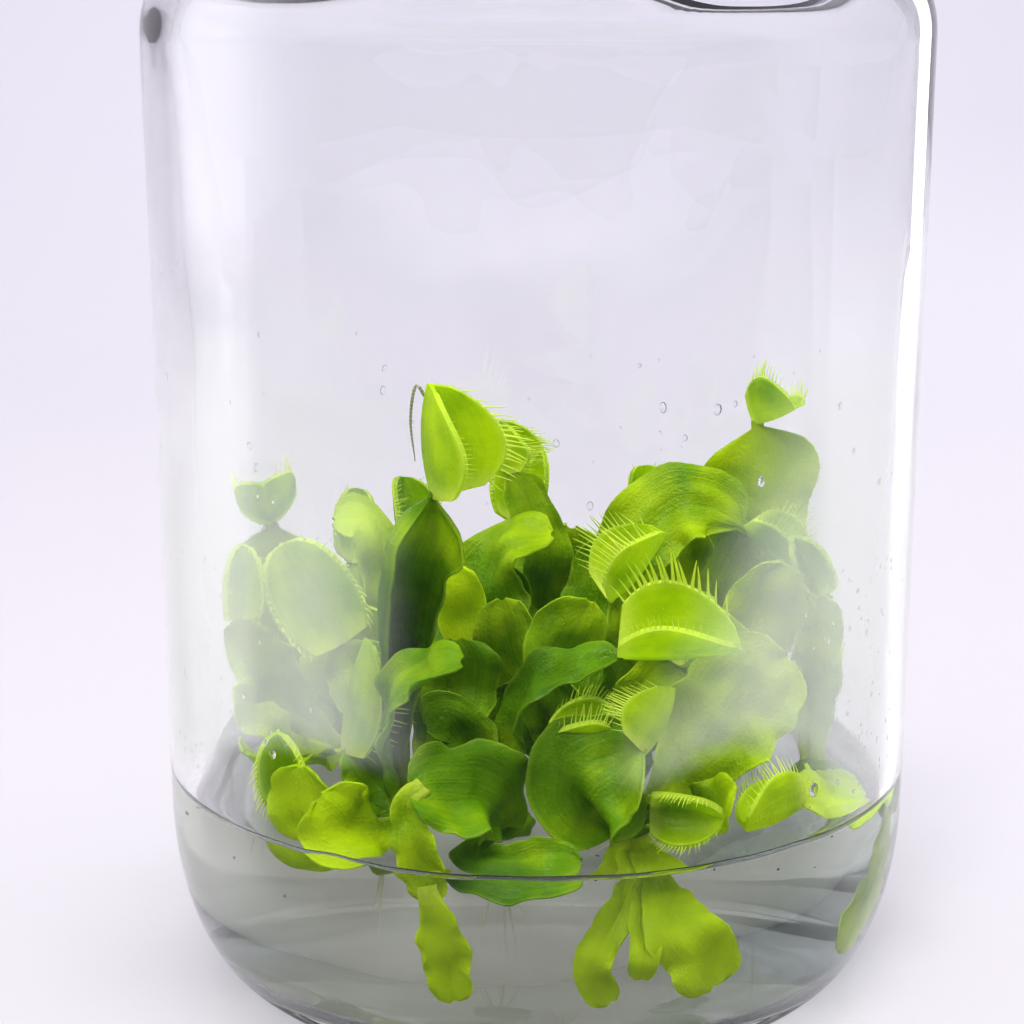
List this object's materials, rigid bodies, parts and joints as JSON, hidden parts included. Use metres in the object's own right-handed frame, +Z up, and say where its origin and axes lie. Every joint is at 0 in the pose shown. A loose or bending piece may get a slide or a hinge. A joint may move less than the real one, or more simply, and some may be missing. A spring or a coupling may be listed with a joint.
{
  "type": "potted venus flytrap",
  "caption": "Clump of young venus flytraps rooted in clear gel at the bottom of an open clear glass culture jar, with toothed hinged traps on broad leaf stalks.",
  "frame": {"origin": "centre of the jar's base, on the surface that it stands on", "axes": "+Z up along the jar's axis, -Y towards the picture's viewer, +X to the viewer's right"},
  "size_m": [0.076, 0.076, 0.112],
  "materials": {
    "clear_glass": "clear moulded soda-lime glass, misted and beaded with water inside",
    "agar_gel": null,
    "leaf_green": null
  },
  "bodies": {
    "root": {"culture_jar": "clear_glass", "growing_gel": "agar_gel", "plantlet_front_left": "leaf_green", "plantlet_front_centre": "leaf_green", "plantlet_front_right": "leaf_green", "plantlet_right": "leaf_green", "plantlet_middle": "leaf_green", "plantlet_back_right": "leaf_green", "plantlet_back_centre": "leaf_green", "plantlet_left_back": "leaf_green"}
  },
  "joints": []
}
